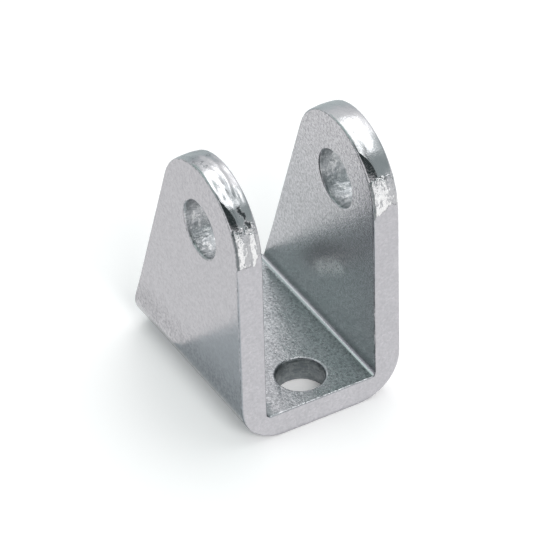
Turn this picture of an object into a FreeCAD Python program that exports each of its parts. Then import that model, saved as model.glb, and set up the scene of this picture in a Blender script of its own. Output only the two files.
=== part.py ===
import FreeCAD, Part
import Sketcher
import math
import os

# Rear trunnion bracket: one strip of thick steel plate, blanked, pierced and folded
# into a U, then zinc plated. Row frame: X runs across the two ears along the pivot
# axis, Y runs along the base with the upright front edges at -Y, Z is up. The origin
# is at the middle of the underside of the base.

V = FreeCAD.Vector

doc = FreeCAD.newDocument("TrunnionBracket")
sheet = doc.addObject("Spreadsheet::Sheet", "Sizes")

SIZES = [
    ("ear_gap", 16.5, "clear width between the two ears"),
    ("plate_thick", 3.75, "thickness of the plate"),
    ("base_length", 31.0, "length of the base from front to back"),
    ("pivot_height", 30.0, "height of the pivot axis over the underside"),
    ("ear_radius", 9.75, "radius of the round top of each ear"),
    ("pivot_bore", 8.0, "diameter of the pivot pin holes"),
    ("base_bore", 6.6, "diameter of the screw holes in the base"),
    ("base_pitch", 20.0, "distance between the two screw holes"),
    ("bend_outside", 6.5, "outside radius of the two folds"),
    ("bend_inside", 0.4, "inside radius of the two folds"),
    ("foot_setback", 1.5, "how far ahead of the back of the base an ear's back edge comes down"),
    ("rim_round", 0.3, "rounding of the rims of the holes"),
    ("tool_margin", 4.0, "how far the cutting outlines run past the plate"),
]
for row, (alias, value, note) in enumerate(SIZES, start=1):
    sheet.set("A%d" % row, alias)
    sheet.set("B%d" % row, repr(value))
    sheet.set("C%d" % row, note)
    sheet.setAlias("B%d" % row, alias)
doc.recompute()

FOLD_TOP = "(Sizes.plate_thick + Sizes.bend_inside)"
TOP = "(Sizes.pivot_height + Sizes.ear_radius)"
BACK = "(Sizes.base_length / 2)"


def size(alias):
    """The present value of one cell of the sheet."""
    return float(sheet.get(alias))


def origin_plane(body, role):
    for feature in body.Origin.OriginFeatures:
        if feature.Role == role:
            return feature
    raise RuntimeError("no plane " + role)


def new_sketch(body, name, role):
    sketch = body.newObject("Sketcher::SketchObject", name)
    sketch.AttachmentSupport = [(origin_plane(body, role), "")]
    sketch.MapMode = "FlatFace"
    return sketch


def line(sketch, x1, y1, x2, y2):
    return sketch.addGeometry(Part.LineSegment(V(x1, y1, 0), V(x2, y2, 0)), False)


def arc(sketch, cx, cy, radius, start, end):
    circle = Part.Circle(V(cx, cy, 0), V(0, 0, 1), radius)
    angles = (math.radians(start), math.radians(end))
    return sketch.addGeometry(Part.ArcOfCircle(circle, angles[0], angles[1]), False)


def fix(sketch, *args):
    return sketch.addConstraint(Sketcher.Constraint(*args))


def bind(sketch, name, expression, *args):
    """Add a dimension to the sketch and tie it to the sheet."""
    index = sketch.addConstraint(Sketcher.Constraint(*args))
    sketch.renameConstraint(index, name)
    sketch.setExpression("Constraints." + name, expression)


def finish_sketch(sketch):
    doc.recompute()
    result = sketch.solve()
    if result != 0:
        raise RuntimeError("sketch %s not solved: %s" % (sketch.Name, result))
    if not sketch.FullyConstrained:
        raise RuntimeError("sketch left loose: " + sketch.Name)
    sketch.Visibility = False


def cut_both_ways(body, name, sketch):
    """Pocket through the whole plate on both sides of the sketch, and prove that it cut."""
    before = body.Shape.Volume
    pocket = body.newObject("PartDesign::Pocket", name)
    pocket.Profile = sketch
    pocket.Type = "ThroughAll"
    pocket.SideType = "Symmetric"
    doc.recompute()
    if not pocket.Shape.Volume < before - 1.0:
        raise RuntimeError("nothing was cut by " + name)
    return pocket


gap = size("ear_gap") / 2
thick = size("plate_thick")
half = gap + thick
top = size("pivot_height") + size("ear_radius")
back = size("base_length") / 2
outside = size("bend_outside")
inside = size("bend_inside")
margin = size("tool_margin")

body = doc.addObject("PartDesign::Body", "Bracket")
body.Label = "trunnion_bracket"

# Cross-section of the folded plate, extruded along the length of the base.
section = new_sketch(body, "FoldedSection", "XZ_Plane")
outer_left = line(section, -half, top, -half, outside)
fold_out_left = arc(section, -half + outside, outside, outside, 180, 270)
under = line(section, -half + outside, 0, half - outside, 0)
fold_out_right = arc(section, half - outside, outside, outside, 270, 360)
outer_right = line(section, half, outside, half, top)
top_right = line(section, half, top, gap, top)
inner_right = line(section, gap, top, gap, thick + inside)
fold_in_right = arc(section, gap - inside, thick + inside, inside, 270, 360)
floor = line(section, gap - inside, thick, -gap + inside, thick)
fold_in_left = arc(section, -gap + inside, thick + inside, inside, 180, 270)
inner_left = line(section, -gap, thick + inside, -gap, top)
top_left = line(section, -gap, top, -half, top)
fix(section, "Tangent", outer_left, 2, fold_out_left, 1)
fix(section, "Tangent", fold_out_left, 2, under, 1)
fix(section, "Tangent", under, 2, fold_out_right, 1)
fix(section, "Tangent", fold_out_right, 2, outer_right, 1)
fix(section, "Coincident", outer_right, 2, top_right, 1)
fix(section, "Coincident", top_right, 2, inner_right, 1)
fix(section, "Tangent", inner_right, 2, fold_in_right, 2)
fix(section, "Tangent", fold_in_right, 1, floor, 1)
fix(section, "Tangent", floor, 2, fold_in_left, 2)
fix(section, "Tangent", fold_in_left, 1, inner_left, 1)
fix(section, "Coincident", inner_left, 2, top_left, 1)
fix(section, "Coincident", top_left, 2, outer_left, 1)
fix(section, "Vertical", outer_left)
fix(section, "Vertical", inner_right)
fix(section, "Vertical", inner_left)
fix(section, "Horizontal", top_right)
fix(section, "Horizontal", top_left)
fix(section, "Horizontal", floor)
fix(section, "Equal", fold_out_left, fold_out_right)
fix(section, "Equal", fold_in_left, fold_in_right)
fix(section, "Equal", top_left, top_right)
fix(section, "PointOnObject", under, 1, -1)
fix(section, "Symmetric", inner_right, 1, inner_left, 2, -2)
fix(section, "Symmetric", under, 1, under, 2, -2)
bind(section, "gap", "Sizes.ear_gap", "DistanceX", inner_left, 2, inner_right, 1, 2 * gap)
bind(section, "ear_thick", "Sizes.plate_thick", "DistanceX", top_right, 2, top_right, 1, thick)
bind(section, "base_thick", "Sizes.plate_thick", "DistanceY", under, 1, floor, 2, thick)
bind(section, "height", TOP, "DistanceY", under, 2, outer_right, 2, top)
bind(section, "outside", "Sizes.bend_outside", "Radius", fold_out_left, outside)
bind(section, "inside", "Sizes.bend_inside", "Radius", fold_in_left, inside)
finish_sketch(section)

plate = body.newObject("PartDesign::Pad", "FoldedPlate")
plate.Profile = section
plate.SideType = "Symmetric"
plate.setExpression("Length", "Sizes.base_length")
doc.recompute()

# Side outline of the ears: upright in front, round over the pivot, sloping down to the
# back. The cut stops at the top of the folds, because the base runs on further back.
radius = size("ear_radius")
pivot_y = -back + radius
pivot_z = size("pivot_height")
foot_y = back - size("foot_setback")
foot_z = thick + inside
reach = math.hypot(foot_y - pivot_y, foot_z - pivot_z)
lean = math.atan2(foot_z - pivot_z, foot_y - pivot_y) + math.acos(radius / reach)
touch_y = pivot_y + radius * math.cos(lean)
touch_z = pivot_z + radius * math.sin(lean)
ears = new_sketch(body, "EarOutline", "YZ_Plane")
round_top = arc(ears, pivot_y, pivot_z, radius, math.degrees(lean), 180)
slant = line(ears, touch_y, touch_z, foot_y, foot_z)
ledge = line(ears, foot_y, foot_z, back + margin, foot_z)
rise = line(ears, back + margin, foot_z, back + margin, top + margin)
over = line(ears, back + margin, top + margin, -back - margin, top + margin)
fall = line(ears, -back - margin, top + margin, -back - margin, pivot_z)
step = line(ears, -back - margin, pivot_z, -back, pivot_z)
fix(ears, "Tangent", round_top, 1, slant, 1)
fix(ears, "Coincident", slant, 2, ledge, 1)
fix(ears, "Coincident", ledge, 2, rise, 1)
fix(ears, "Coincident", rise, 2, over, 1)
fix(ears, "Coincident", over, 2, fall, 1)
fix(ears, "Coincident", fall, 2, step, 1)
fix(ears, "Coincident", step, 2, round_top, 2)
fix(ears, "Horizontal", ledge)
fix(ears, "Vertical", rise)
fix(ears, "Horizontal", over)
fix(ears, "Vertical", fall)
fix(ears, "Horizontal", step)
fix(ears, "Horizontal", round_top, 3, round_top, 2)
bind(ears, "radius", "Sizes.ear_radius", "Radius", round_top, radius)
bind(ears, "front", BACK, "DistanceX", round_top, 2, -1, 1, back)
bind(ears, "pivot", "Sizes.pivot_height", "DistanceY", -1, 1, round_top, 3, pivot_z)
bind(ears, "foot_height", FOLD_TOP, "DistanceY", -1, 1, ledge, 2, foot_z)
bind(ears, "foot_back", BACK + " - Sizes.foot_setback", "DistanceX", -1, 1, ledge, 1, foot_y)
bind(ears, "past_back", BACK + " + Sizes.tool_margin", "DistanceX", -1, 1, ledge, 2, back + margin)
bind(ears, "past_top", TOP + " + Sizes.tool_margin", "DistanceY", -1, 1, over, 1, top + margin)
bind(ears, "past_front", "Sizes.tool_margin", "DistanceX", step, 1, step, 2, margin)
finish_sketch(ears)
cut_both_ways(body, "EarOutlineCut", ears)

# The blank's sloping edge wraps round each fold, so the end of the fold sweeps back from
# the foot of the ear to the back edge of the base. A ruled cut makes it, through three
# sections: level with the top of the fold, half way round it, and upright where it meets
# the base.
INNER_EDGE = "(Sizes.ear_gap / 2 - Sizes.bend_inside / 2)"
far = thick + outside
past = back + margin


def fold_end_section(name, side, share):
    """A rectangle that has turned through this share of the fold, with a side on its hinge."""
    section = new_sketch(body, name, "XY_Plane")
    hinge = FreeCAD.Rotation(V(0, 1, 0), side * share * 90)
    section.AttachmentOffset = FreeCAD.Placement(V(0, 0, 0), hinge)
    lowered = "%g * Sizes.bend_inside / 2" % share
    across = "%d * (%s - %s)" % (side, INNER_EDGE, lowered)
    section.setExpression("AttachmentOffset.Base.x", across)
    section.setExpression("AttachmentOffset.Base.z", "%s - %s" % (FOLD_TOP, lowered))
    turn = math.radians(share * 90)
    wide = far / (math.cos(turn) + math.sin(turn))
    start = back - (1 - share) * size("foot_setback")
    corners = [(0, start), (side * wide, start), (side * wide, past), (0, past)]
    sides = [line(section, *corners[k], *corners[(k + 1) % 4]) for k in range(4)]
    for k in range(4):
        fix(section, "Coincident", sides[k], 2, sides[(k + 1) % 4], 1)
        fix(section, ("Horizontal", "Vertical")[k % 2], sides[k])
    fix(section, "PointOnObject", sides[0], 1, -2)
    ends = (1, 2) if side > 0 else (2, 1)
    reach = "(Sizes.plate_thick + Sizes.bend_outside) / (cos(%g) + sin(%g))" % (share * 90, share * 90)
    bind(section, "across", reach, "DistanceX", sides[0], ends[0], sides[0], ends[1], wide)
    foot = "%s - %g * Sizes.foot_setback" % (BACK, 1 - share)
    bind(section, "start", foot, "DistanceY", -1, 1, sides[0], 1, start)
    bind(section, "past", BACK + " + Sizes.tool_margin", "DistanceY", -1, 1, sides[2], 1, past)
    finish_sketch(section)
    return section


def cut_fold_end(name, side):
    """Cut back the end of one fold; side is 1 for the right one and -1 for the left one."""
    sections = [fold_end_section(name + place, side, share)
                for place, share in (("AtEar", 0), ("HalfWay", 0.5), ("AtBase", 1))]
    before = body.Shape.Volume
    cut = body.newObject("PartDesign::SubtractiveLoft", name)
    cut.Profile = sections[0]
    cut.Sections = sections[1:]
    cut.Ruled = True
    doc.recompute()
    return before - cut.Shape.Volume


right_cut = cut_fold_end("FoldEndRight", 1)
left_cut = cut_fold_end("FoldEndLeft", -1)
if not right_cut > 0 or abs(right_cut - left_cut) > 0.01 * right_cut:
    raise RuntimeError("fold ends cut %.3f and %.3f mm3" % (right_cut, left_cut))

# Holes for the pivot pin, in line through both ears.
pin = new_sketch(body, "PivotHoles", "YZ_Plane")
pin_circle = Part.Circle(V(pivot_y, pivot_z, 0), V(0, 0, 1), size("pivot_bore") / 2)
ring = pin.addGeometry(pin_circle, False)
bind(pin, "bore", "Sizes.pivot_bore", "Diameter", ring, size("pivot_bore"))
bind(pin, "height", "Sizes.pivot_height", "DistanceY", -1, 1, ring, 3, pivot_z)
bind(pin, "front", BACK + " - Sizes.ear_radius", "DistanceX", ring, 3, -1, 1, -pivot_y)
finish_sketch(pin)
cut_both_ways(body, "PivotHolesCut", pin)

# Two screw holes on the centre line of the base.
screws = new_sketch(body, "ScrewHoles", "XY_Plane")
pitch = size("base_pitch")
bore = size("base_bore")
rings = []
for place in (-pitch / 2, pitch / 2):
    circle = Part.Circle(V(0, place, 0), V(0, 0, 1), bore / 2)
    rings.append(screws.addGeometry(circle, False))
fix(screws, "PointOnObject", rings[0], 3, -2)
fix(screws, "Symmetric", rings[0], 3, rings[1], 3, -1, 1)
fix(screws, "Equal", rings[0], rings[1])
bind(screws, "bore", "Sizes.base_bore", "Diameter", rings[0], bore)
bind(screws, "pitch", "Sizes.base_pitch", "DistanceY", rings[0], 3, rings[1], 3, pitch)
finish_sketch(screws)
cut_both_ways(body, "ScrewHolesCut", screws)

# Rounded rims where the plate was pierced.
pierced_plate = body.Tip
rims = []
for number, edge in enumerate(pierced_plate.Shape.Edges, start=1):
    if not isinstance(edge.Curve, Part.Circle):
        continue
    whole = abs(edge.Length - 2 * math.pi * edge.Curve.Radius) < 1e-6
    hole = min(abs(edge.Curve.Radius - r) for r in (size("pivot_bore") / 2, bore / 2)) < 1e-6
    if whole and hole:
        rims.append("Edge%d" % number)
if len(rims) != 8:
    raise RuntimeError("expected eight rims, found %d" % len(rims))
rounding = body.newObject("PartDesign::Fillet", "RimRounding")
rounding.Base = (pierced_plate, rims)
rounding.setExpression("Radius", "Sizes.rim_round")
doc.recompute()

body.Placement = FreeCAD.Placement(V(0, 0, 0), FreeCAD.Rotation(0, 0, 0, 1))
doc.recompute()

for item in doc.Objects:
    state = [str(word) for word in item.State]
    if "Invalid" in state or "Error" in state:
        raise RuntimeError("%s is %s" % (item.Name, state))
shape = body.Shape
if shape.isNull() or not shape.isValid() or len(shape.Solids) != 1:
    raise RuntimeError("the bracket is not one valid solid")

os.makedirs("parts", exist_ok=True)
shape.exportStep("parts/" + body.Label + ".step")
box = shape.optimalBoundingBox()
print(body.Label, "volume %.1f mm3" % shape.Volume)
print("box X %.3f %.3f Y %.3f %.3f Z %.3f %.3f" % (box.XMin, box.XMax, box.YMin, box.YMax, box.ZMin, box.ZMax))
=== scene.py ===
"""Rear trunnion bracket of a small pneumatic cylinder.

One plate, pierced and sheared to shape, folded into a U and zinc plated. The blank is
drawn flat, a node tree folds it up, and the plating, the sheared rims and the punched
holes each have their own finish.
"""
import math
from functools import partial

import bmesh
import bpy
from bpy.props import FloatProperty, FloatVectorProperty, IntProperty, PointerProperty
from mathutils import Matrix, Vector
from mathutils.geometry import tessellate_polygon


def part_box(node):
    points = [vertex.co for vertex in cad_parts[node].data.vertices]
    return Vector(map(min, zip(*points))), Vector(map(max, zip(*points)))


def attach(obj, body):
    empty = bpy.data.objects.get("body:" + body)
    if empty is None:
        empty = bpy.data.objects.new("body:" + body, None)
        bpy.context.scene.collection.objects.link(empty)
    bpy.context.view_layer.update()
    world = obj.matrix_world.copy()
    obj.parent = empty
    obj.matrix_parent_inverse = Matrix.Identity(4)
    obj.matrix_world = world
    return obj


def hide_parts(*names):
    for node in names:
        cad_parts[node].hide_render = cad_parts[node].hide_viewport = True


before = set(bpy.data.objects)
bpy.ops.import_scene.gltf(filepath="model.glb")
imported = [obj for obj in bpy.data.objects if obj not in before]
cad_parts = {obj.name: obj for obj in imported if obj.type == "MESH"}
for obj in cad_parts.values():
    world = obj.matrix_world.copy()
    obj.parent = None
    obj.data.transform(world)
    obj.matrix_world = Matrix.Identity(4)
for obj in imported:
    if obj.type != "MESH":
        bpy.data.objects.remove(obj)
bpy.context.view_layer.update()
NODE = "trunnion_bracket"
LOWEST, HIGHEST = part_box(NODE)

bl_info = {
    "name": "Trunnion Bracket",
    "version": (1, 0, 0),
    "blender": (4, 5, 0),
    "location": "3D View > Sidebar > Bracket",
    "description": "Builds a folded and plated rear trunnion bracket and its studio",
    "category": "Object",
}

# Kinds of surface, kept on the faces of the blank until each gets its material.
FACE, RIM, BORE = 0, 1, 2
EAR_GAP = 0.0165
FLOAT = "NodeSocketFloat"
VECTOR = "NodeSocketVector"


def length(name, description, default):
    return FloatProperty(name=name, description=description, default=default, min=0.0,
                         subtype="DISTANCE", unit="LENGTH", precision=5)


def colour(name, description, default):
    return FloatVectorProperty(name=name, description=description, default=default,
                               size=3, min=0.0, max=1.0, subtype="COLOR")


def factor(name, description, default, most=1.0):
    return FloatProperty(name=name, description=description, default=default, min=0.0,
                         max=most, subtype="FACTOR")


def power(name, description, default):
    return FloatProperty(name=name, description=description, default=default, min=0.0,
                         subtype="POWER", unit="POWER")


class BracketSizes(bpy.types.PropertyGroup):
    """Sizes of the plate and of what is cut in it."""
    ear_gap: length("Ear gap", "Clear space between the two ears", EAR_GAP)
    thickness: length("Plate thickness", "Thickness of the plate",
                      (HIGHEST[0] - LOWEST[0] - EAR_GAP) / 2)
    base_length: length("Base length", "Length of the base from front to back",
                        HIGHEST[1] - LOWEST[1])
    pivot_height: length("Pivot height", "Height of the pivot over the underside", 0.030)
    ear_radius: length("Ear radius", "Radius of the round top of each ear", 0.00975)
    pivot_bore: length("Pivot bore", "Diameter of the holes in the ears", 0.008)
    base_bore: length("Base bore", "Diameter of the two screw holes", 0.0066)
    base_pitch: length("Base pitch", "Distance between the two screw holes", 0.020)
    fold_outside: length("Fold outside", "Outside radius of the folds", 0.0065)
    fold_inside: length("Fold inside", "Inside radius of the folds", 0.00055)
    foot_setback: length("Foot setback", "How far ahead of the back of the base an ear ends",
                         0.0015)
    edge_round: length("Edge rounding", "Rounding of the sheared edges", 0.00028)
    hole_round: length("Hole rounding", "Rounding of the rims of the holes", 0.00035)
    crown: length("Rim crown", "How much the rim of an ear falls off towards its faces", 0.00012)


class BracketFinish(bpy.types.PropertyGroup):
    """Colours and wear of the plating."""
    plating: colour("Plating", "Colour of the plated metal", (0.559, 0.553, 0.580))
    sheared: colour("Sheared rims", "Colour of the plating on the flat rims",
                    (0.640, 0.633, 0.664))
    shade: colour("Shade", "Colour of the plating in its grain and clouds", (0.44, 0.44, 0.462))
    pores: colour("Pores", "Colour of the plating in the fine grain of the faces",
                  (0.27, 0.27, 0.285))
    burnished: colour("Burnished", "Colour of the plating on the tumbled rims",
                      (0.62, 0.62, 0.635))
    grain: factor("Grain", "Depth of the fine grain of the plating", 1.0, 4.0)
    seed: IntProperty(name="Seed", description="Choice of the pattern of marks", default=3)


class StudioSettings(bpy.types.PropertyGroup):
    """Floor, lights and camera."""
    floor: colour("Floor", "Colour of the floor", (0.945, 0.93, 0.93))
    floor_glow: factor("Floor glow", "Light of the floor itself in the picture", 0.16)
    mirror_glow: factor("Mirrored glow", "Light of the floor itself in the metal", 0.03)
    softbox: power("Softbox", "Power of the lamp overhead", 1.6)
    core: power("Softbox core", "Power of the bright middle of the lamp", 1.9)
    front_lamp: power("Front lamp", "Power of the lamp high in front", 8.1)
    surroundings: factor("Surroundings", "Strength of the light from all sides", 1.0, 4.0)
    lens: FloatProperty(name="Lens", description="Focal length of the camera in millimetres",
                        default=325.69, min=10.0)


# The flat blank. Its coordinates are s across the folds, y along the base and h into the
# plate, from 0 on the outside of the bracket to its thickness on the inside.

def fold_layout(size):
    """Where the flat of the base ends, and how much plate one fold takes up."""
    flat = size.ear_gap / 2 + size.thickness - size.fold_outside
    allowance = math.pi / 2 * (size.fold_outside - size.thickness / 2)
    return flat, allowance


def fold_turns(size):
    """Angles of the lines that a fold is divided by, close together in its inner corner."""
    corner = size.fold_outside - size.thickness
    half_turn = math.atan(corner / (corner - size.fold_inside)) - math.pi / 4
    fine, degrees_apart, clearance = 3, 5, 0.02
    inner = [math.pi / 4 + half_turn * k / fine for k in range(-fine, fine + 1)]
    coarse = [math.radians(a) for a in range(0, 91, degrees_apart)]
    return sorted(inner + [a for a in coarse if abs(a - math.pi / 4) > half_turn + clearance])


def folded(size, s, h):
    """Distance from the middle and height that a point of the blank has once it is folded."""
    flat, allowance = fold_layout(size)
    turn = min(max((abs(s) - flat) / allowance, 0.0), 1.0) * math.pi / 2
    beyond = max(abs(s) - flat - allowance, 0.0)
    corner = size.fold_outside - size.thickness
    inner = corner / max(math.sin(turn), math.cos(turn))
    reach = size.fold_outside + (inner - size.fold_outside) * h / size.thickness
    across = min(abs(s), flat) + reach * math.sin(turn)
    return across, size.fold_outside - reach * math.cos(turn) + beyond


def ear_circle(size):
    """Centre of an ear's round top, foot of its back edge, and angle where the two touch."""
    y = -size.base_length / 2 + size.ear_radius
    z = size.pivot_height
    foot_y = size.base_length / 2 - size.foot_setback
    foot_z = size.thickness + size.fold_inside
    away = math.hypot(foot_y - y, foot_z - z)
    lean = math.atan2(foot_z - z, foot_y - y) + math.acos(size.ear_radius / away)
    return y, z, foot_y, foot_z, lean


def back_edge(size, s, h):
    """Where the plate ends at the back: straight behind the base, sloping up the ears."""
    y, z, foot_y, foot_z, lean = ear_circle(size)
    across, height = folded(size, s, h)
    touch_y = y + size.ear_radius * math.cos(lean)
    touch_z = z + size.ear_radius * math.sin(lean)
    if height >= foot_z:
        return foot_y - (height - foot_z) * (foot_y - touch_y) / (touch_z - foot_z)
    below = foot_z - height
    beside = across - size.ear_gap / 2 + size.fold_inside
    share = min(max(below / max(below + beside, 1e-9), 0.0), 1.0) if beside > 0 else 1.0
    return size.base_length / 2 - size.foot_setback * (1 - share)


def blank_edge(size, h):
    """Edge of the right half of the blank, from the front round the ear to the back."""
    flat, allowance = fold_layout(size)
    lines = [flat + allowance * a / (math.pi / 2) for a in fold_turns(size)]
    foot = lines[-1] - size.fold_outside
    y, z, _, _, lean = ear_circle(size)
    front = -size.base_length / 2
    straight_steps, arc_steps = 12, 90
    edge = [(s, front) for s in lines]
    for k in range(1, straight_steps):
        upwards = (z - size.fold_outside) * k / straight_steps
        edge.append((foot + size.fold_outside + upwards, front))
    for k in range(arc_steps + 1):
        a = math.pi + (lean - math.pi) * k / arc_steps
        edge.append((foot + z + size.ear_radius * math.sin(a), y + size.ear_radius * math.cos(a)))
    top = edge[-1][0]
    for k in range(1, straight_steps):
        s = top + (lines[-1] - top) * k / straight_steps
        edge.append((s, back_edge(size, s, h)))
    edge += [(s, back_edge(size, s, h)) for s in reversed(lines)]
    return edge, len(lines)


def outward(edge):
    """Direction out of the plate at each point of a closed edge that runs front to back."""
    result = []
    for k in range(len(edge)):
        before = Vector(edge[k]) - Vector(edge[k - 1])
        after = Vector(edge[(k + 1) % len(edge)]) - Vector(edge[k])
        along = (before.normalized() + after.normalized()).normalized()
        result.append(Vector((along.y, -along.x)))
    return result


def rim_rows(thickness, rounding, crown):
    """Depth and inset, with the crown, of each row of points from one face to the other."""
    quarter = [math.radians(a) for a in (0, 22.5, 45, 67.5)]
    rows = [(rounding * (1 - math.cos(a)), rounding * (1 - math.sin(a)) + crown) for a in quarter]
    middle_steps = 10
    inner = []
    for k in range(middle_steps + 1):
        u = k / middle_steps
        inner.append((rounding + (thickness - 2 * rounding) * u, crown * (2 * u - 1) ** 2))
    return rows + inner + [(thickness - h, inset) for h, inset in reversed(rows)]


def smooth(a, b, x):
    """0 below a and 1 above b, with soft ends."""
    t = min(max((x - a) / (b - a), 0.0), 1.0)
    return t * t * (3 - 2 * t)


def cover(mesh, loops, kind):
    """Fill the flat area inside the first loop and outside the others with faces of a kind."""
    flat = [point for loop in loops for point in loop]
    layer = mesh.faces.layers.int["finish"]
    for corners in tessellate_polygon([[point.co for point in loop] for loop in loops]):
        mesh.faces.new([flat[k] for k in corners])[layer] = kind


def wall(mesh, rows, kind):
    """Faces between rows of points round an edge; the outer ones look like the plate's faces."""
    layer = mesh.faces.layers.int["finish"]
    count, outer = len(rows[0]), 2
    for j in range(len(rows) - 1):
        rounded = j < outer or j >= len(rows) - 1 - outer
        for k in range(count):
            after = (k + 1) % count
            face = mesh.faces.new((rows[j][k], rows[j][after], rows[j + 1][after], rows[j + 1][k]))
            face[layer] = FACE if rounded else kind


def new_row(mesh, places, h, size, rounding):
    """Points at one depth of the plate; those on a rounding are marked as edge."""
    mark_of = mesh.verts.layers.float["edge"]
    row = [mesh.verts.new((s, y, h)) for s, y in places]
    for point in row:
        point[mark_of] = 1.0 if 0 < min(h, size.thickness - h) < rounding else 0.0
    return row


def draw_blank(size):
    """The pierced flat blank as a closed mesh."""
    mesh = bmesh.new()
    mesh.faces.layers.int.new("finish")
    mesh.verts.layers.float.new("edge")
    middle, lines = blank_edge(size, size.thickness / 2)
    half = len(middle)
    across = middle + [(-s, y) for s, y in reversed(middle)]
    away = outward(across)
    flat, allowance = fold_layout(size)
    foot = flat + allowance - size.fold_outside
    front = -size.base_length / 2
    crowned_in_front, crowned_behind = (0.0285, 0.0315), (0.006, 0.011)
    weights = []
    for s, y in across:
        heights = crowned_in_front if y < front + 1e-6 else crowned_behind
        weights.append(smooth(*heights, abs(s) - foot))
    plain = rim_rows(size.thickness, size.edge_round, 0.0)
    crowned = rim_rows(size.thickness, size.edge_round, size.crown)
    rim = []
    for (h, inset), (_, more) in zip(plain, crowned):
        right, _ = blank_edge(size, h)
        edge = right + [(-s, y) for s, y in reversed(right)]
        places = []
        for (s, y), out, weight in zip(edge, away, weights):
            back = inset + (more - inset) * weight
            places.append((s - out.x * back, y - out.y * back))
        rim.append(new_row(mesh, places, h, size, size.edge_round))
    wall(mesh, rim, RIM)

    y, z, *_ = ear_circle(size)
    pivot, screw = size.pivot_bore / 2, size.base_bore / 2
    hole_steps = 72
    around = [2 * math.pi * k / hole_steps for k in range(hole_steps)]
    holes = []
    for s, along, radius in ((foot + z, y, pivot), (-foot - z, y, pivot),
                             (0.0, -size.base_pitch / 2, screw),
                             (0.0, size.base_pitch / 2, screw)):
        ring = []
        for h, inset in rim_rows(size.thickness, size.hole_round, 0.0):
            reach = radius + inset
            places = [(s + reach * math.cos(a), along + reach * math.sin(a)) for a in around]
            ring.append(new_row(mesh, places, h, size, size.hole_round))
        wall(mesh, ring, BORE)
        holes.append(ring)

    last = 2 * half - 1
    for layer in (0, -1):
        row = rim[layer]
        right_hole, left_hole, front_hole, back_hole = [ring[layer] for ring in holes]
        cover(mesh, [[row[0], row[half - 1], row[half], row[last]], front_hole, back_hole], FACE)
        cover(mesh, [row[lines - 1:half - lines + 1], right_hole], FACE)
        cover(mesh, [row[half + lines - 1:last - lines + 2], left_hole], FACE)
        for j in range(lines - 1):
            for quad in ((j, j + 1, half - 2 - j, half - 1 - j),
                         (last - j, last - j - 1, half + 1 + j, half + j)):
                mesh.faces.new([row[k] for k in quad])
    bmesh.ops.recalc_face_normals(mesh, faces=mesh.faces)
    return mesh


# Node helpers.

def put(socket, value, tree):
    """Give a socket a link or a plain value."""
    if isinstance(value, bpy.types.NodeSocket):
        tree.links.new(value, socket)
    else:
        socket.default_value = value


def calc(tree, operation, *values, clamp=False):
    """One step of arithmetic in a node tree; values are sockets or numbers."""
    node = tree.nodes.new("ShaderNodeMath")
    node.operation = operation
    node.use_clamp = clamp
    for socket, value in zip(node.inputs, values):
        put(socket, value, tree)
    return node.outputs[0]


def step(tree, kind, settings=(), inputs=()):
    """A node with its settings and inputs given by name."""
    node = tree.nodes.new(kind)
    for name, value in dict(settings).items():
        setattr(node, name, value)
    for name, value in dict(inputs).items():
        put(node.inputs[name], value, tree)
    return node


def new_tree(name, kind, inputs, outputs):
    """A node group with its sockets; returns it, its input node and its output node."""
    tree = bpy.data.node_groups.new(name, kind)
    for title, socket, value in inputs:
        made = tree.interface.new_socket(name=title, in_out="INPUT", socket_type=socket)
        if value is not None:
            made.default_value = value
    for title, socket in outputs:
        tree.interface.new_socket(name=title, in_out="OUTPUT", socket_type=socket)
    return tree, tree.nodes.new("NodeGroupInput"), tree.nodes.new("NodeGroupOutput")


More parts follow.
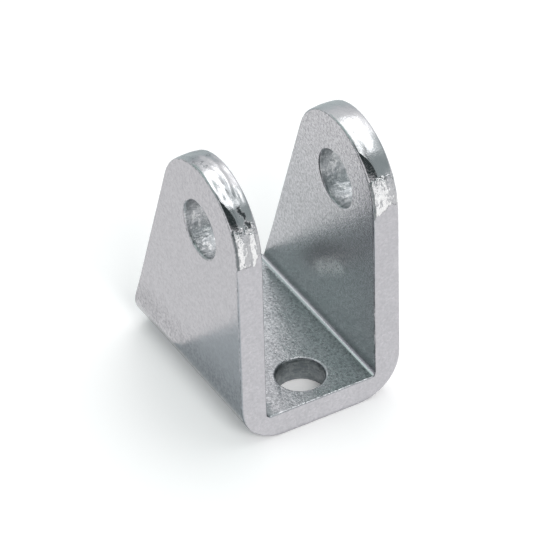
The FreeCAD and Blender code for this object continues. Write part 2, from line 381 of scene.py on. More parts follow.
def folding_tree():
    """Folds the flat blank into the bracket and gives each kind of surface its finish."""
    tree, given, result = new_tree("Fold Up Ears", "GeometryNodeTree", [
        ("Geometry", "NodeSocketGeometry", None),
        ("Ear Gap", FLOAT, EAR_GAP), ("Plate Thickness", FLOAT, 0.00375),
        ("Fold Outside", FLOAT, 0.0065), ("Fold Inside", FLOAT, 0.00055),
        ("Rolled Face", "NodeSocketMaterial", None), ("Sheared Rim", "NodeSocketMaterial", None),
        ("Punched Bore", "NodeSocketMaterial", None),
    ], [("Geometry", "NodeSocketGeometry")])
    size = given.outputs
    m = partial(calc, tree)

    position = step(tree, "GeometryNodeInputPosition").outputs[0]
    s, along, deep = step(tree, "ShaderNodeSeparateXYZ", (), {0: position}).outputs
    across = m("ABSOLUTE", s)
    half_width = m("MULTIPLY_ADD", size["Ear Gap"], 0.5, size["Plate Thickness"])
    flat = m("SUBTRACT", half_width, size["Fold Outside"])
    neutral = m("MULTIPLY_ADD", size["Plate Thickness"], -0.5, size["Fold Outside"])
    allowance = m("MULTIPLY", neutral, math.pi / 2)
    past_flat = m("SUBTRACT", across, flat)
    turn = m("MULTIPLY", m("DIVIDE", past_flat, allowance, clamp=True), math.pi / 2)
    beyond = m("MAXIMUM", m("SUBTRACT", past_flat, allowance), 0.0)
    corner = m("SUBTRACT", size["Fold Outside"], size["Plate Thickness"])
    sine, cosine = m("SINE", turn), m("COSINE", turn)
    straight = m("DIVIDE", corner, m("MAXIMUM", sine, cosine))
    off = m("ABSOLUTE", m("SUBTRACT", turn, math.pi / 4))
    inset = m("SUBTRACT", corner, size["Fold Inside"])
    axis = m("MULTIPLY", inset, math.sqrt(2))
    side = m("POWER", m("MULTIPLY", axis, m("SINE", off)), 2.0)
    rest = m("SQRT", m("MAXIMUM", m("SUBTRACT", m("POWER", size["Fold Inside"], 2.0), side), 0.0))
    curved = m("MULTIPLY_ADD", axis, m("COSINE", off), rest)
    half_turn = m("SUBTRACT", m("ARCTANGENT", m("DIVIDE", corner, inset)), math.pi / 4)
    in_corner = m("LESS_THAN", off, half_turn)
    inner = m("MULTIPLY_ADD", in_corner, m("SUBTRACT", curved, straight), straight)
    share = m("DIVIDE", deep, size["Plate Thickness"])
    inwards = m("SUBTRACT", inner, size["Fold Outside"])
    reach = m("MULTIPLY_ADD", inwards, share, size["Fold Outside"])
    wide = m("MULTIPLY_ADD", reach, sine, m("MINIMUM", across, flat))
    height = m("ADD", m("SUBTRACT", size["Fold Outside"], m("MULTIPLY", reach, cosine)), beyond)
    folded_place = step(tree, "ShaderNodeCombineXYZ", (), {
        "X": m("MULTIPLY", wide, m("SIGN", s)), "Y": along, "Z": height})
    shape = step(tree, "GeometryNodeSetPosition", (), {
        "Geometry": size["Geometry"], "Position": folded_place.outputs[0]})
    real = step(tree, "GeometryNodeRealizeInstances", (), {"Geometry": shape.outputs[0]})
    shape = step(tree, "GeometryNodeSetMaterial", (), {
        "Geometry": real.outputs[0], "Material": size["Rolled Face"]})
    finish = step(tree, "GeometryNodeInputNamedAttribute", {"data_type": "INT"},
                  {"Name": "finish"})
    for kind, title in ((RIM, "Sheared Rim"), (BORE, "Punched Bore")):
        chosen = step(tree, "FunctionNodeCompare", {"data_type": "INT", "operation": "EQUAL"},
                      {"A": finish.outputs["Attribute"], "B": kind})
        shape = step(tree, "GeometryNodeSetMaterial", (), {
            "Geometry": shape.outputs[0], "Selection": chosen.outputs[0], "Material": size[title]})
    tree.links.new(shape.outputs[0], result.inputs[0])
    return tree


def set_inputs(modifier, tree, values):
    """Set a modifier's inputs, given by name, through the identifiers of its sockets."""
    for item in tree.interface.items_tree:
        if item.item_type == "SOCKET" and item.in_out == "INPUT" and item.name in values:
            modifier[item.identifier] = values[item.name]


# Finishes.

# Colours of the plating where it is worn or marked, and painted highlights, shade and reflections
# where the light falls. The others are in the sidebar.
INSIDE = (0.70, 0.695, 0.72)
# Pale curls on the faces, and the painted light that makes the base's top paler.
PALE_CURL_AND_PAINTED_LIGHT = (0.86, 0.86, 0.88)
WORN = (0.90, 0.90, 0.91)
# Painted shade under the outer bends.
BEND_SHADE = (0.26, 0.29, 0.30)
# Painted highlight along the inner folds, brightest towards the front of the right one.
FOLD_HIGHLIGHT = (0.74, 0.73, 0.76)
FOLD_HIGHLIGHT_FRONT = (1.0, 0.96, 1.0)
# Painted shade at the foot of each ear, just above its inner fold.
FOOT_SHADE = (0.25, 0.265, 0.275)
# Painted shade at the base's front left corner.
CORNER_SHADE = (0.24, 0.27, 0.28)
BROKEN_EDGE = (0.30, 0.31, 0.32)
FAINT_DENT = (0.34, 0.345, 0.36)
STREAK = (0.28, 0.29, 0.30)
CLOUDED_TOP = (0.38, 0.39, 0.41)
TORN = (0.50, 0.51, 0.53)
# Painted glints on the crests of the torn metal, and painted shade in its pits.
TORN_GLINT = (0.98, 0.98, 0.98)
TORN_PIT_SHADE = (0.22, 0.24, 0.25)
# Painted dark reflection on the rolled-over edge of the torn stretch.
ROLLED_EDGE_REFLECTION = (0.12, 0.14, 0.145)
RING = (0.20, 0.22, 0.23)
GOUGE = (0.05, 0.06, 0.065)
BORE_LIGHT, BORE_DARK = (0.60, 0.61, 0.63), (0.41, 0.425, 0.44)
# Painted glints and pit shade in the torn metal of the bores.
BORE_PIT_SHADE, BORE_GLINT = (0.15, 0.17, 0.18), (0.9, 0.9, 0.9)
# Painted shade in the bores, deepest in the base's.
BORE_PAINTED_SHADE = (0.185, 0.225, 0.235)


def noise(tree, place, size, detail=2.0, roughness=0.5):
    """Noise whose lumps are about size metres across; 0.5 on average."""
    node = step(tree, "ShaderNodeTexNoise", (), {
        "Vector": place, "Scale": calc(tree, "DIVIDE", 1.0, size), "Detail": detail,
        "Roughness": roughness})
    return node.outputs["Fac"]


def ramp(tree, value, low, high):
    """0 below low and 1 above high, with soft ends."""
    node = step(tree, "ShaderNodeMapRange", {"interpolation_type": "SMOOTHSTEP"}, {
        "Value": value, "From Min": low, "From Max": high})
    return node.outputs["Result"]


def fall(tree, value, low, high):
    """1 below low and 0 above high, with soft ends."""
    return calc(tree, "SUBTRACT", 1.0, ramp(tree, value, low, high))


def times(tree, *values):
    """Values multiplied together."""
    result = values[0]
    for value in values[1:]:
        result = calc(tree, "MULTIPLY", result, value)
    return result


def largest(tree, *values):
    """The largest of the values."""
    result = values[0]
    for value in values[1:]:
        result = calc(tree, "MAXIMUM", result, value)
    return result


def stretched(tree, place, x, y, z):
    """The place scaled along each axis, so that a pattern on it is drawn out."""
    node = step(tree, "ShaderNodeVectorMath", {"operation": "MULTIPLY"}, {0: place})
    node.inputs[1].default_value = (x, y, z)
    return node.outputs[0]


def blend(tree, share, first, second):
    """Mix two colours, which are sockets or plain red, green and blue."""
    node = step(tree, "ShaderNodeMix", {"data_type": "RGBA"}, {"Factor": share})
    for title, value in (("A", first), ("B", second)):
        plain = not isinstance(value, bpy.types.NodeSocket)
        put(node.inputs[title], (*value, 1) if plain else value, tree)
    return node.outputs["Result"]


def layered(tree, tone, *layers):
    """Lay colours over a first one; each layer is its share and its colour."""
    for share, paint in layers:
        tone = blend(tree, share, tone, paint)
    return tone


def added(tree, value, *terms):
    """Add masks to a value, each times its own amount."""
    for mask, amount in terms:
        value = calc(tree, "MULTIPLY_ADD", mask, amount, value)
    return value


def grain_group():
    """Fine grain of the plating, streaks along the rolled sheet, clouds and short curls."""
    tree, given, result = new_tree("Plating Grain", "ShaderNodeTree", [
        ("Place", VECTOR, None), ("Grain Size", FLOAT, 0.0004),
        ("Streak Size", FLOAT, 0.0005), ("Seed", FLOAT, 0.0),
    ], [("Grain", FLOAT), ("Streak", FLOAT), ("Cloud", FLOAT), ("Curl", FLOAT)])
    size = given.outputs
    shift = step(tree, "ShaderNodeCombineXYZ", (), {"X": size["Seed"], "Z": size["Seed"]})
    place = step(tree, "ShaderNodeVectorMath", {"operation": "ADD"}, {
        0: size["Place"], 1: shift.outputs[0]}).outputs[0]
    along_sheet = stretched(tree, place, 1, 1, 0.1)
    over_cloud = stretched(tree, place, 1, 0.45, 0.7)
    cloud_size, curl_size = 0.0020, 0.0007
    for title, value in (
            ("Grain", noise(tree, place, size["Grain Size"], 3.0, 0.65)),
            ("Streak", noise(tree, along_sheet, size["Streak Size"], 3.0, 0.6)),
            ("Cloud", noise(tree, over_cloud, cloud_size, 5.0, 0.68))):
        tree.links.new(ramp(tree, value, 0.3, 0.7), result.inputs[title])
    off = calc(tree, "SUBTRACT", noise(tree, place, curl_size, 2.0, 0.6), 0.5)
    curl = fall(tree, calc(tree, "ABSOLUTE", off), 0.01, 0.07)
    tree.links.new(curl, result.inputs["Curl"])
    return tree


def mark_group():
    """A ragged mark along the straight line between two points of the object."""
    tree, given, result = new_tree("Ragged Mark", "ShaderNodeTree", [
        ("Place", VECTOR, None), ("Start", VECTOR, None), ("End", VECTOR, None),
        ("Width", FLOAT, 0.0003), ("Ragged", FLOAT, 0.5), ("Ragged Size", FLOAT, 0.0004),
    ], [("Mask", FLOAT)])
    size = given.outputs

    def v(operation, first, second):
        return step(tree, "ShaderNodeVectorMath", {"operation": operation}, {0: first, 1: second})

    along = v("SUBTRACT", size["End"], size["Start"]).outputs[0]
    reach = v("SUBTRACT", size["Place"], size["Start"]).outputs[0]
    share = calc(tree, "DIVIDE", v("DOT_PRODUCT", reach, along).outputs["Value"],
                 v("DOT_PRODUCT", along, along).outputs["Value"], clamp=True)
    on_line = step(tree, "ShaderNodeVectorMath", {"operation": "SCALE"}, {
        0: along, "Scale": share})
    off = step(tree, "ShaderNodeVectorMath", {"operation": "LENGTH"}, {
        0: v("SUBTRACT", reach, on_line.outputs[0]).outputs[0]}).outputs["Value"]
    rough = calc(tree, "SUBTRACT", noise(tree, size["Place"], size["Ragged Size"], 3.0), 0.5)
    off = calc(tree, "DIVIDE", off, size["Width"])
    off = calc(tree, "MULTIPLY_ADD", rough, size["Ragged"], off)
    tree.links.new(fall(tree, off, 0.25, 0.6), result.inputs["Mask"])
    return tree


def crinkle_group():
    """Torn metal: its height, a mask of its crests for painted glints and a mask of the pits
    between them for painted shade.
    """
    tree, given, result = new_tree("Torn Metal", "ShaderNodeTree", [
        ("Place", VECTOR, None), ("Lump Size", FLOAT, 0.0006), ("Fleck Share", FLOAT, 0.5),
    ], [("Height", FLOAT), ("Fleck", FLOAT), ("Pit", FLOAT)])
    m = partial(calc, tree)
    place, lump_size = given.outputs["Place"], given.outputs["Lump Size"]
    lumps = noise(tree, place, lump_size, 4.0, 0.62)
    fine_share = 0.35
    fine = noise(tree, place, m("MULTIPLY", lump_size, fine_share), 2.0, 0.5)
    height = m("MULTIPLY_ADD", fine, fine_share, lumps)
    edge = m("SUBTRACT", 0.86, m("MULTIPLY", given.outputs["Fleck Share"], 0.36))
    tree.links.new(height, result.inputs["Height"])
    tree.links.new(ramp(tree, height, edge, m("ADD", edge, 0.09)), result.inputs["Fleck"])
    tree.links.new(ramp(tree, m("SUBTRACT", 1.0, height), 0.46, 0.56), result.inputs["Pit"])
    return tree


def new_metal(name):
    """A material with a metal shader; returns them, its tree and its place in metres."""
    material = bpy.data.materials.new(name)
    material.use_nodes = True
    tree = material.node_tree
    tree.nodes.clear()
    metal = step(tree, "ShaderNodeBsdfPrincipled", (), {"Metallic": 1.0})
    output = tree.nodes.new("ShaderNodeOutputMaterial")
    tree.links.new(metal.outputs[0], output.inputs["Surface"])
    return material, metal, tree, step(tree, "ShaderNodeTexCoord").outputs["Object"]


def dress(tree, metal, tone, roughness, height):
    """Give the shader its colour, roughness and surface height in metres."""
    tree.links.new(tone, metal.inputs["Base Color"])
    tree.links.new(roughness, metal.inputs["Roughness"])
    bump = step(tree, "ShaderNodeBump", (), {"Height": height, "Distance": 1.0, "Strength": 1.0})
    tree.links.new(bump.outputs[0], metal.inputs["Normal"])


def mark(tree, groups, place, start, end, width, ragged=0.5, ragged_size=0.0004):
    """Mask of one mark; its ends and width are in millimetres."""
    node = step(tree, "ShaderNodeGroup", {"node_tree": groups["mark"]}, {
        "Place": place, "Width": width / 1000, "Ragged": ragged, "Ragged Size": ragged_size})
    for title, point in (("Start", start), ("End", end)):
        node.inputs[title].default_value = [c / 1000 for c in point]
    return node.outputs["Mask"]


def bent(tree, place, size, reach):
    """The place moved about by up to reach metres, so that marks and borders wander."""
    node = step(tree, "ShaderNodeTexNoise", (), {
        "Vector": place, "Scale": 1.0 / size, "Detail": 2.0})
    off = step(tree, "ShaderNodeVectorMath", {"operation": "MULTIPLY_ADD"}, {
        0: node.outputs["Color"]})
    off.inputs[1].default_value = (2 * reach,) * 3
    off.inputs[2].default_value = (-reach,) * 3
    moved = step(tree, "ShaderNodeVectorMath", {"operation": "ADD"}, {0: place, 1: off.outputs[0]})
    return moved.outputs[0]


def grained(tree, groups, place, finish, *titles):
    """The masks of the plating's grain that are asked for by their titles."""
    shift_of_one_seed = 0.037
    node = step(tree, "ShaderNodeGroup", {"node_tree": groups["grain"]}, {
        "Place": place, "Seed": finish.seed * shift_of_one_seed})
    return [node.outputs[title] for title in titles]


def rolled_face(finish, groups, size):
    """Plated face of the sheet: satin, with fine grain, and clouded inside the base.
    Painted highlights lie along the inner folds; painted shade lies at the feet of the ears
    above them, under the outer bends and at the base's front left corner; the base's top is
    painted paler except on its left side.
    """
    material, metal, tree, place = new_metal("Zinc plate on rolled face")
    m = partial(calc, tree)
    grain, streak, cloud, curl = grained(tree, groups, place, finish,
                                         "Grain", "Streak", "Cloud", "Curl")

    # Parts of the faces: inside the U, the base, the inner folds and the foot of each ear
    # above them, what is low, and the bend underneath.
    x, y, z = step(tree, "ShaderNodeSeparateXYZ", (), {0: place}).outputs
    across = m("ABSOLUTE", x)
    inner, top = size.ear_gap / 2, size.thickness
    fold_start = inner - size.fold_inside
    within = times(tree, m("LESS_THAN", across, inner + 0.00004),
                   m("GREATER_THAN", z, top - 0.00015))
    base = m("MULTIPLY", within, m("LESS_THAN", z, top + 0.00003))
    # Painted highlight: a light line along each inner fold.
    fold = times(tree, within, m("SUBTRACT", 1.0, base),
                 ramp(tree, across, fold_start, fold_start + 0.0001),
                 fall(tree, z, top + 0.00025, top + size.fold_inside))
    # Painted shade: a dark band at the foot of each ear, above its inner fold.
    foot = times(tree, within, ramp(tree, z, top + 0.00045, top + 0.00065),
                 fall(tree, z, top + 0.00085, top + 0.00245))
    low = fall(tree, z, 0.007, 0.012)
    # Painted shade: darker towards the bottom of each outer bend.
    beside = m("SUBTRACT", inner + top, across)
    shade_under_bend = fall(tree, m("ADD", z, beside), 0.0005, 0.0045)
    # The left side of the base's top, which is left out of its painted light and so stays darker.
    base_left = times(tree, base, ramp(tree, m("MULTIPLY", x, -1.0), -0.001, 0.006))
    # Painted highlight, brighter towards the front of the right inner fold.
    fold_highlight_front = times(tree, fold, m("GREATER_THAN", x, 0.0),
                       ramp(tree, m("MULTIPLY", y, -1.0), 0.002, 0.013))

    # Marks of wear, and a patch of painted shade, with their ends in millimetres.
    wandering = bent(tree, place, 0.0015, 0.0006)
    speckle = m("MULTIPLY_ADD", ramp(tree, noise(tree, place, 0.00022, 2.0, 0.6), 0.36, 0.64),
                0.8, 0.12)
    smudge_ends = (8.25, -1.2, 12.4), (8.25, -6.5, 15.9)
    smudge = m("ADD", *[mark(tree, groups, place, *smudge_ends, width, 0.3, 0.0007)
                        for width in (1.5, 3.0)])
    smudge = times(tree, speckle, smudge, 0.95)
    ring_ends = (1.6, -0.2, 3.75), (1.7, 0.1, 3.75)
    ring = m("SUBTRACT", *[mark(tree, groups, wandering, *ring_ends, width)
                           for width in (3.0, 2.2)], clamp=True)
    worn = m("MAXIMUM", smudge, m("MULTIPLY", ring, 0.35))
    # Painted shade: a dark soft patch at the base's front left corner.
    corner = mark(tree, groups, wandering, (-8.0, -15.4, 3.75), (-8.0, -13.2, 3.75),
                  3.2, 0.7, 0.0006)
    edge = step(tree, "ShaderNodeAttribute", {"attribute_name": "edge"}).outputs["Fac"]
    at_hole = m("MULTIPLY", m("LESS_THAN", z, top + 0.00005),
                m("LESS_THAN", across, size.base_bore / 2 + 0.0009))
    broken = m("SUBTRACT", ramp(tree, noise(tree, place, 0.0006, 3.0, 0.6), 0.42, 0.60), at_hole,
               clamp=True)
    dull = m("MULTIPLY_ADD", m("LESS_THAN", z, top + 0.00015), -0.4, 0.85)

    pore_share = m("MULTIPLY_ADD", m("MAXIMUM", m("MULTIPLY", within, 0.7), low), 0.58, 0.37)
    streak_share = m("MULTIPLY_ADD", low, 0.25, 0.10)
    curl_share = added(tree, 0.0, (within, 0.16), (base, 0.22), (base_left, 0.08))
    tone = layered(
        tree, finish.plating,
        (m("MULTIPLY", within, 0.56), INSIDE),
        # Painted light: the base's top is paler except on its left side.
        (m("MULTIPLY", m("SUBTRACT", base, base_left), 0.7), PALE_CURL_AND_PAINTED_LIGHT),
        (m("MULTIPLY", grain, pore_share), finish.pores),
        (m("MULTIPLY", streak, streak_share), finish.shade),
        (times(tree, cloud, base, 0.15), finish.shade),
        # Painted shade under the outer bends.
        (m("MULTIPLY", shade_under_bend, 0.95), BEND_SHADE),
        (m("MULTIPLY", curl, curl_share), PALE_CURL_AND_PAINTED_LIGHT),
        (m("MULTIPLY", worn, 0.75), WORN),
        # Painted shade at the feet of the ears.
        (foot, FOOT_SHADE),
        # Painted highlights along the inner folds.
        (fold, FOLD_HIGHLIGHT),
        (fold_highlight_front, FOLD_HIGHLIGHT_FRONT),
        # Painted shade at the base's front left corner.
        (m("MULTIPLY", corner, 0.7), CORNER_SHADE),
        (times(tree, edge, broken, dull), BROKEN_EDGE))
    clouded = m("MULTIPLY", cloud, base)
    rough = added(tree, 0.15, (within, 0.03), (grain, 0.05), (clouded, 0.12), (worn, 0.12))
    height = added(tree, 0.0, (grain, 0.000006 * finish.grain), (clouded, 0.000018),
                   (m("MULTIPLY", curl, within), 0.000004))
    dress(tree, metal, tone, rough, height)
    return material


def sheared_rim(finish, groups, size):
    """Cut edge of the sheet: flat and matt in front, torn where the round top begins,
    tumbled smooth and dented over the top. The torn metal has painted glints on its crests
    and painted shade in its pits, and its rolled-over edge a painted dark reflection."""
    material, metal, tree, place = new_metal("Zinc plate on sheared rim")
    m = partial(calc, tree)
    grain, cloud = grained(tree, groups, place, finish, "Grain", "Cloud")

    # A point's way along the rim from where the round top begins in front, its way across
    # the rim from the middle to the right, and its ear. The ears have different patterns.
    x, y, z = step(tree, "ShaderNodeSeparateXYZ", (), {0: place}).outputs
    centre_y = -size.base_length / 2 + size.ear_radius
    turn = m("ARCTAN2", m("SUBTRACT", z, size.pivot_height), m("SUBTRACT", centre_y, y))
    along = m("MULTIPLY", turn, size.ear_radius)
    side, right = m("SIGN", x), m("GREATER_THAN", x, 0.0)
    across = m("MULTIPLY_ADD", side, -(size.ear_gap + size.thickness) / 2, x)
    run = step(tree, "ShaderNodeCombineXYZ", (), {
        "X": along, "Y": across, "Z": m("MULTIPLY", side, 0.013)}).outputs[0]
    streaky = stretched(tree, run, 0.45, 1.0, 1.0)
    wave = m("MULTIPLY_ADD", noise(tree, run, 0.0013, 3.0, 0.6), 0.0009, -0.00045)
    wavy = m("ADD", across, wave)

    def either(on_left, on_right):
        """One value on the left ear and another on the right one."""
        return m("MULTIPLY_ADD", right, m("SUBTRACT", on_right, on_left), on_left)

    def slanting(crossing, rate):
        return m("MULTIPLY", m("SUBTRACT", across, crossing), rate)

    def line(middle, half):
        """A wavy line along the rim, with soft sides."""
        off = m("ABSOLUTE", m("SUBTRACT", wavy, middle))
        return fall(tree, off, half - 0.00015, half + 0.00015)

    # Borders of the torn stretch, which is ragged and starts on a slant.
    climb = either(slanting(0.0007, 1.9), slanting(-0.0017, 0.62))
    start = m("ADD", m("MINIMUM", m("MAXIMUM", climb, 0.0), 0.0013), -0.0004)
    ragged = m("SUBTRACT", noise(tree, run, 0.0007, 3.0, 0.65), 0.5)
    past = m("SUBTRACT", m("MULTIPLY_ADD", ragged, 0.0017, along), start)
    above = ramp(tree, past, 0.0, 0.00012)
    round_top = times(tree, above, fall(tree, along, 0.024, 0.026))
    end_noise = m("SUBTRACT", noise(tree, run, 0.0012, 3.0), 0.5)
    torn_end = m("MULTIPLY_ADD", end_noise, 0.0035, 0.0053)
    torn = times(tree, above, fall(tree, m("SUBTRACT", along, torn_end), -0.0006, 0.0001))

    fleck_lines = either(
        m("MAXIMUM", line(-0.00105, 0.0003), m("MULTIPLY", line(0.0008, 0.0004), 0.75)),
        m("MULTIPLY", fall(tree, wavy, 0.0002, 0.0010), 0.75))
    crinkle = step(tree, "ShaderNodeGroup", {"node_tree": groups["crinkle"]}, {
        "Place": bent(tree, streaky, 0.0009, 0.0004), "Lump Size": 0.00052,
        "Fleck Share": m("MULTIPLY_ADD", fleck_lines, 0.68, 0.32)})
    # Painted glints on the crests of the torn stretch, and painted shade in its pits.
    glint = times(tree, crinkle.outputs["Fleck"], torn)
    pit_shade = times(tree, crinkle.outputs["Pit"], torn)

    # The edge that the tumbling rolled over: a lip that narrows along the rim.
    rise = m("MAXIMUM", m("SUBTRACT", along, 0.0055), 0.0)
    wedge = m("MULTIPLY_ADD", m("MULTIPLY", rise, rise), either(-56.0, -84.0),
              either(-0.0007, -0.00045))
    lip = m("MAXIMUM", m("SUBTRACT", m("MULTIPLY_ADD", wave, 0.25, wedge), across), 0.0)
    lip = times(tree, lip, above, m("GREATER_THAN", along, torn_end))
    # Painted dark reflection along the edge that the tumbling rolled over, in the torn stretch.
    to_left = m("MULTIPLY_ADD", wave, -0.3, m("MULTIPLY", across, -1.0))
    rolled_edge_reflection = m("MULTIPLY", torn, ramp(tree, to_left, 0.00143, 0.00150))

    long_dents = stretched(tree, run, 0.32, 1.0, 1.0)
    dents = m("SUBTRACT", noise(tree, streaky, 0.0014, 1.5, 0.5), 0.5)
    soft = m("SUBTRACT", noise(tree, long_dents, 0.0016, 1.5, 0.5), 0.5)
    tumbled = m("MULTIPLY_ADD", ramp(tree, along, 0.0064, 0.0100), 0.75, 0.25)
    tumbled = m("MULTIPLY", tumbled, round_top)
    top = ramp(tree, along, 0.0138, 0.0155)
    faint = ramp(tree, noise(tree, stretched(tree, run, 0.4, 1.0, 1.0), 0.0012, 1.5, 0.6),
                 0.45, 0.72)
    streak = times(tree, line(0.0001, 0.00028), ramp(tree, along, 0.0080, 0.0095),
                   fall(tree, along, 0.0125, 0.0140), either(0.95, 0.0))

    # Marks on the left ear, with their ends in millimetres.
    wandering = bent(tree, place, 0.0008, 0.00032)
    gouge = largest(tree, *[
        mark(tree, groups, wandering, first, last, width, 1.4, 0.0005) for first, last, width in (
            ((-9.95, -12.5, 37.0), (-9.7, -13.2, 36.3), 0.60),
            ((-9.62, -13.35, 36.1), (-9.55, -13.6, 35.8), 0.45),
            ((-9.5, -13.8, 35.55), (-9.3, -14.15, 35.0), 0.68))])
    rings = []
    for point, width in (((-10.95, -3.6, 39.5), 1.5), ((-10.3, -4.3, 39.6), 1.0),
                         ((-10.6, -5.2, 39.7), 1.3), ((-9.1, -3.4, 39.5), 0.7)):
        later = (point[0], point[1] - 0.3, point[2])
        rings.append(m("SUBTRACT", *[
            mark(tree, groups, wandering, point, later, share * width, 0.9)
            for share in (1.0, 0.55)], clamp=True))
    kept = ramp(tree, noise(tree, place, 0.0008, 3.0, 0.6), 0.46, 0.56)
    rings = m("MULTIPLY", largest(tree, *rings), kept)

    tone = layered(
        tree, finish.sheared,
        (m("MULTIPLY", grain, 0.5), finish.shade),
        (m("MULTIPLY", cloud, 0.2), finish.shade),
        (round_top, finish.burnished),
        (times(tree, faint, round_top, either(0.25, 0.15)), FAINT_DENT),
        (streak, STREAK),
        (times(tree, cloud, top, either(0.8, 0.2)), CLOUDED_TOP),
        (m("MULTIPLY", torn, 0.5), TORN),
        # Painted glints on the crests and painted shade in the pits.
        (m("MULTIPLY", glint, 0.95), TORN_GLINT),
        (m("MULTIPLY", pit_shade, 0.6), TORN_PIT_SHADE),
        # Painted dark reflection on the rolled-over edge.
        (m("MULTIPLY", rolled_edge_reflection, 0.8), ROLLED_EDGE_REFLECTION),
        (m("MULTIPLY", rings, 0.8), RING),
        (m("MULTIPLY", gouge, 0.9), GOUGE))
    rough = added(tree, 0.27, (grain, 0.05), (round_top, -0.10), (torn, 0.06))
    height = added(
        tree, 0.0,
        (grain, 0.000006 * finish.grain),
        (times(tree, dents, tumbled, either(0.2, 0.3)), 0.00018),
        (times(tree, soft, tumbled, either(1.1, 0.3)), 0.00050),
        (times(tree, cloud, top, round_top), 0.00005),
        (times(tree, crinkle.outputs["Height"], torn), 0.00022),
        (times(tree, across, right, round_top), 0.05),
        (lip, -0.34),
        (rings, -0.000012),
        (round_top, -0.00003),
        (gouge, -0.00005))
    dress(tree, metal, tone, rough, height)
    return material


def punched_bore(groups):
    """Wall of a hole: dull, with marks of the punch along it, painted glints and shade in the
    pits of its torn metal, and painted shade that is deepest in the base's bores and less in
    the right ear's.
    """
    material, metal, tree, place = new_metal("Zinc plate in punched bore")
    m = partial(calc, tree)
    x, _, z = step(tree, "ShaderNodeSeparateXYZ", (), {0: place}).outputs
    in_base = m("LESS_THAN", z, 0.0046)
    on_right = m("GREATER_THAN", x, 0.006)
    along_x = stretched(tree, place, 0.3, 1.0, 1.0)
    around_z = stretched(tree, place, 0.45, 0.45, 1.0)
    pick = step(tree, "ShaderNodeMix", {"data_type": "VECTOR"}, {
        "Factor": in_base, "A": along_x, "B": around_z})
    lines = ramp(tree, noise(tree, pick.outputs["Result"], 0.0005, 4.0, 0.65), 0.38, 0.62)
    crinkle = step(tree, "ShaderNodeGroup", {"node_tree": groups["crinkle"]}, {
        "Place": place, "Lump Size": 0.0007, "Fleck Share": 0.45}).outputs
    tone = layered(
        tree, blend(tree, lines, BORE_LIGHT, BORE_DARK),
        # Painted glints and pit shade in the torn metal.
        (m("MULTIPLY", crinkle["Pit"], 0.6), BORE_PIT_SHADE),
        (m("MULTIPLY", crinkle["Fleck"], 0.7), BORE_GLINT),
        # Painted shade, deepest in the base's bores and less in the right ear's.
        (added(tree, 0.0, (on_right, 0.25), (in_base, 0.6)), BORE_PAINTED_SHADE))
    rough = added(tree, 0.28, (lines, 0.12))
    height = added(tree, 0.0, (lines, 0.000014), (crinkle["Height"], 0.00014))
    dress(tree, metal, tone, rough, height)
    return material


def bracket_finishes(scene):
    """The materials of the rolled faces, the sheared rims and the punched bores."""
    finish, size = scene.bracket_finish, scene.bracket_sizes
    groups = {"grain": grain_group(), "mark": mark_group(), "crinkle": crinkle_group()}
    return (rolled_face(finish, groups, size), sheared_rim(finish, groups, size),
            punched_bore(groups))


class BRACKET_OT_plate(bpy.types.Operator):
    """Draw the blank, fold it up and plate it"""
    bl_idname = "bracket.plate"
    bl_label = "Build Folded Plate"

    def execute(self, context):
        size = context.scene.bracket_sizes
        flat = bpy.data.meshes.new("flat_blank")
        blank = draw_blank(size)
        if any(not edge.is_manifold for edge in blank.edges):
            raise RuntimeError("the blank is not closed")
        blank.to_mesh(flat)
        blank.free()
        piece = bpy.data.objects.new("folded_plate", flat)
        context.scene.collection.objects.link(piece)
        tree = folding_tree()
        face, rim, bore = bracket_finishes(context.scene)
        fold = piece.modifiers.new("Fold Up Ears", "NODES")
        fold.node_group = tree
        set_inputs(fold, tree, {
            "Ear Gap": size.ear_gap, "Plate Thickness": size.thickness,
            "Fold Outside": size.fold_outside, "Fold Inside": size.fold_inside,
            "Rolled Face": face, "Sheared Rim": rim, "Punched Bore": bore})
        context.view_layer.update()
        view = context.evaluated_depsgraph_get()
        made = bpy.data.meshes.new_from_object(piece.evaluated_get(view), depsgraph=view)
        piece.modifiers.remove(fold)
        piece.data = made
        made.name = "folded_plate"
        made.shade_smooth()
        normals = piece.modifiers.new("Even Normals", "WEIGHTED_NORMAL")
        normals.weight = 100
        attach(piece, "root")
        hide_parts(NODE)
        return {"FINISHED"}


def level(left, right, front, back, z):
    """Corners of a level rectangle."""
    return (left, front, z), (right, front, z), (right, back, z), (left, back, z)


def upright(left, right, y, bottom, top):
    """Corners of an upright rectangle that faces the front."""
    return (left, y, bottom), (right, y, bottom), (right, y, top), (left, y, top)


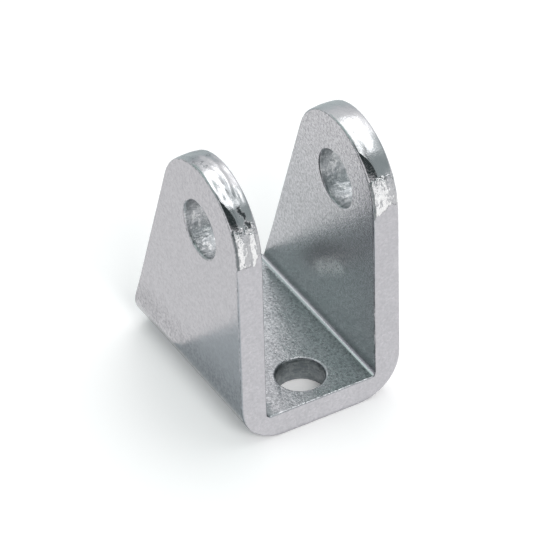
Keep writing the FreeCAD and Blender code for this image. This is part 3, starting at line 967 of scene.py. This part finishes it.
class BRACKET_OT_studio(bpy.types.Operator):
    """Set up the floor, the lights and the camera"""
    bl_idname = "bracket.studio"
    bl_label = "Build Studio"

    def execute(self, context):
        scene, studio = context.scene, context.scene.bracket_studio
        self.board(scene, "floor", self.floor_paint(studio), level(-6, 6, -6, 6, 0))
        self.place_boards(scene)
        self.hang_lamps(scene, studio)
        self.light_room(scene, studio)
        data = bpy.data.cameras.new("camera")
        data.sensor_width = 36.0
        data.lens = studio.lens
        data.clip_start, data.clip_end = 0.01, 50.0
        camera = bpy.data.objects.new("camera", data)
        camera.location = (-0.24164, -0.43402, 0.40955)
        camera.rotation_euler = [math.radians(a) for a in (51.534, 1.242, -30.185)]
        scene.collection.objects.link(camera)
        scene.camera = camera
        scene.view_settings.view_transform = "Standard"
        return {"FINISHED"}

    def place_boards(self, scene):
        """Boards that only the metal shows, as a photographer sets them round the object.
        The dark one, beside the left ear, is a painted shadow on the floor, seen only in the
        metal, where it darkens the low part of that ear.
        """
        grey = self.board_paint("Grey board", (0.585, 0.65, 0.66), 1.0)
        white = self.board_paint("White board", (0.93, 0.93, 0.93), 1.0)
        dark = self.board_paint("Dark board", (0.625, 0.66, 0.68), 0.0)
        flat, raised, reach = 0.0002, 0.0004, 0.3
        for name, paint, corners in (
                ("back_board", grey, upright(-0.012, reach, 0.06, 0.001, 0.055)),
                ("left_board", white, level(-reach, -0.0125, -reach, 0.08, flat)),
                ("front_board", white, level(-0.0125, reach, -reach, -0.0158, flat)),
                ("far_board", white, level(-reach, 0.0, 0.08, 0.4, flat)),
                # A painted shadow on the floor beside the left ear, seen only in the metal.
                ("dark_board", dark, level(-0.045, -0.0123, -0.045, 0.0073, raised))):
            flag = self.board(scene, name, paint, corners)
            flag.visible_camera = False
            flag.visible_diffuse = False
            flag.visible_shadow = False

    def hang_lamps(self, scene, studio):
        """A softbox with a bright middle overhead, and a lamp in front for the floor's shadow."""
        for name, energy, size, place, turn in (
                ("softbox", studio.softbox, (1.1, 1.34), (0.4, 0.05, 1.0), (0, 0, 0)),
                ("softbox core", studio.core, (0.36, 1.15), (0.33, 0.03, 0.99), (0, 0, 0)),
                ("front lamp", studio.front_lamp, (0.45, 0.45), (-0.17, -0.98, 0.84),
                 (50, 0, -10))):
            lamp = bpy.data.lights.new(name, "AREA")
            lamp.shape = "RECTANGLE"
            lamp.size, lamp.size_y = size
            lamp.energy = energy
            light = bpy.data.objects.new(name, lamp)
            light.location = place
            light.rotation_euler = [math.radians(a) for a in turn]
            light.visible_glossy = name != "front lamp"
            scene.collection.objects.link(light)

    def board(self, scene, name, paint, corners):
        """A flat four-cornered piece of the studio."""
        mesh = bpy.data.meshes.new(name)
        mesh.from_pydata(corners, [], [(0, 1, 2, 3)])
        mesh.materials.append(paint)
        made = bpy.data.objects.new(name, mesh)
        scene.collection.objects.link(made)
        return made

    def matt_paint(self, name):
        """A material with a dull surface; returns it and its shader."""
        material = bpy.data.materials.new(name)
        material.use_nodes = True
        paint = material.node_tree.nodes["Principled BSDF"]
        paint.inputs["Roughness"].default_value = 0.9
        paint.inputs["Specular IOR Level"].default_value = 0.0
        return material, paint

    def board_paint(self, name, tone, glow):
        """Paint of a board that glows by itself where glow is 1, and takes light where it is 0."""
        material, paint = self.matt_paint(name)
        paint.inputs["Base Color"].default_value = (*[c * (1 - glow) for c in tone], 1)
        paint.inputs["Emission Color"].default_value = (*tone, 1)
        paint.inputs["Emission Strength"].default_value = glow
        return material

    def floor_paint(self, studio):
        """Pale floor that shows white wherever the object's shadow doesn't fall."""
        material, paint = self.matt_paint("Pale floor")
        tree = material.node_tree
        m = partial(calc, tree)
        paint.inputs["Base Color"].default_value = (*studio.floor, 1)
        ray = step(tree, "ShaderNodeLightPath").outputs
        mirrored = m("MAXIMUM", ray["Is Glossy Ray"], ray["Is Transmission Ray"])
        glow = m("MULTIPLY", mirrored, studio.mirror_glow)
        glow = m("MULTIPLY_ADD", ray["Is Camera Ray"], studio.floor_glow, glow)
        paint.inputs["Emission Color"].default_value = (1, 1, 1, 1)
        tree.links.new(glow, paint.inputs["Emission Strength"])
        return material

    def light_room(self, scene, studio):
        """Light from all sides: in front bright low down and dark above, behind brighter
        upwards on the right and in a low band on the left."""
        world = bpy.data.worlds.new("Studio room")
        world.use_nodes = True
        scene.world = world
        tree = world.node_tree
        tree.nodes.clear()
        m = partial(calc, tree)
        grey, black, grey_green = (0.36, 0.41, 0.415), (0.028, 0.040, 0.041), (0.435, 0.56, 0.53)
        low_front, low_back = (0.95, 0.94, 0.96), (0.585, 0.605, 0.635)
        bright_right, bright_left = (0.95, 0.95, 0.96), (0.95, 0.94, 0.97)

        direction = step(tree, "ShaderNodeTexCoord").outputs["Generated"]
        x, y, z = step(tree, "ShaderNodeSeparateXYZ", (), {0: direction}).outputs
        out = m("SQRT", m("MAXIMUM", m("SUBTRACT", 1.0, m("MULTIPLY", z, z)), 0.0001))
        aside = m("DIVIDE", x, out)
        dark = times(tree, fall(tree, aside, 0.08, 0.18), ramp(tree, aside, -0.98, -0.92))
        front = blend(tree, dark, grey, black)
        front = blend(tree, ramp(tree, z, 0.20, 0.33), low_front, front)
        back_right = blend(tree, ramp(tree, z, 0.05, 0.7), low_back, bright_right)
        band = times(tree, ramp(tree, z, 0.05, 0.25), fall(tree, z, 0.42, 0.52))
        back_left = blend(tree, band, grey_green, bright_left)
        back = blend(tree, ramp(tree, aside, -0.2, 0.25), back_left, back_right)
        sky = blend(tree, ramp(tree, y, -0.15, 0.15), front, back)
        glow = step(tree, "ShaderNodeBackground", (), {
            "Color": sky, "Strength": studio.surroundings})
        output = tree.nodes.new("ShaderNodeOutputWorld")
        tree.links.new(glow.outputs[0], output.inputs["Surface"])


class BRACKET_PT_sidebar(bpy.types.Panel):
    """Bracket tools in the sidebar of the 3D view"""
    bl_label = "Trunnion Bracket"
    bl_idname = "BRACKET_PT_sidebar"
    bl_space_type = "VIEW_3D"
    bl_region_type = "UI"
    bl_category = "Bracket"

    def draw(self, context):
        layout = self.layout
        for name in ("bracket_sizes", "bracket_finish", "bracket_studio"):
            group = getattr(context.scene, name)
            box = layout.box()
            for item in group.bl_rna.properties:
                if item.identifier not in ("rna_type", "name"):
                    box.prop(group, item.identifier)
        layout.operator("bracket.plate")
        layout.operator("bracket.studio")


CLASSES = (BracketSizes, BracketFinish, StudioSettings,
           BRACKET_OT_plate, BRACKET_OT_studio, BRACKET_PT_sidebar)


def register():
    for cls in CLASSES:
        bpy.utils.register_class(cls)
    bpy.types.Scene.bracket_sizes = PointerProperty(type=BracketSizes)
    bpy.types.Scene.bracket_finish = PointerProperty(type=BracketFinish)
    bpy.types.Scene.bracket_studio = PointerProperty(type=StudioSettings)


def unregister():
    for name in ("bracket_sizes", "bracket_finish", "bracket_studio"):
        delattr(bpy.types.Scene, name)
    for cls in reversed(CLASSES):
        bpy.utils.unregister_class(cls)


def main():
    register()
    bpy.ops.bracket.plate()
    bpy.ops.bracket.studio()
    bpy.context.view_layer.update()


if __name__ == "__main__":
    main()
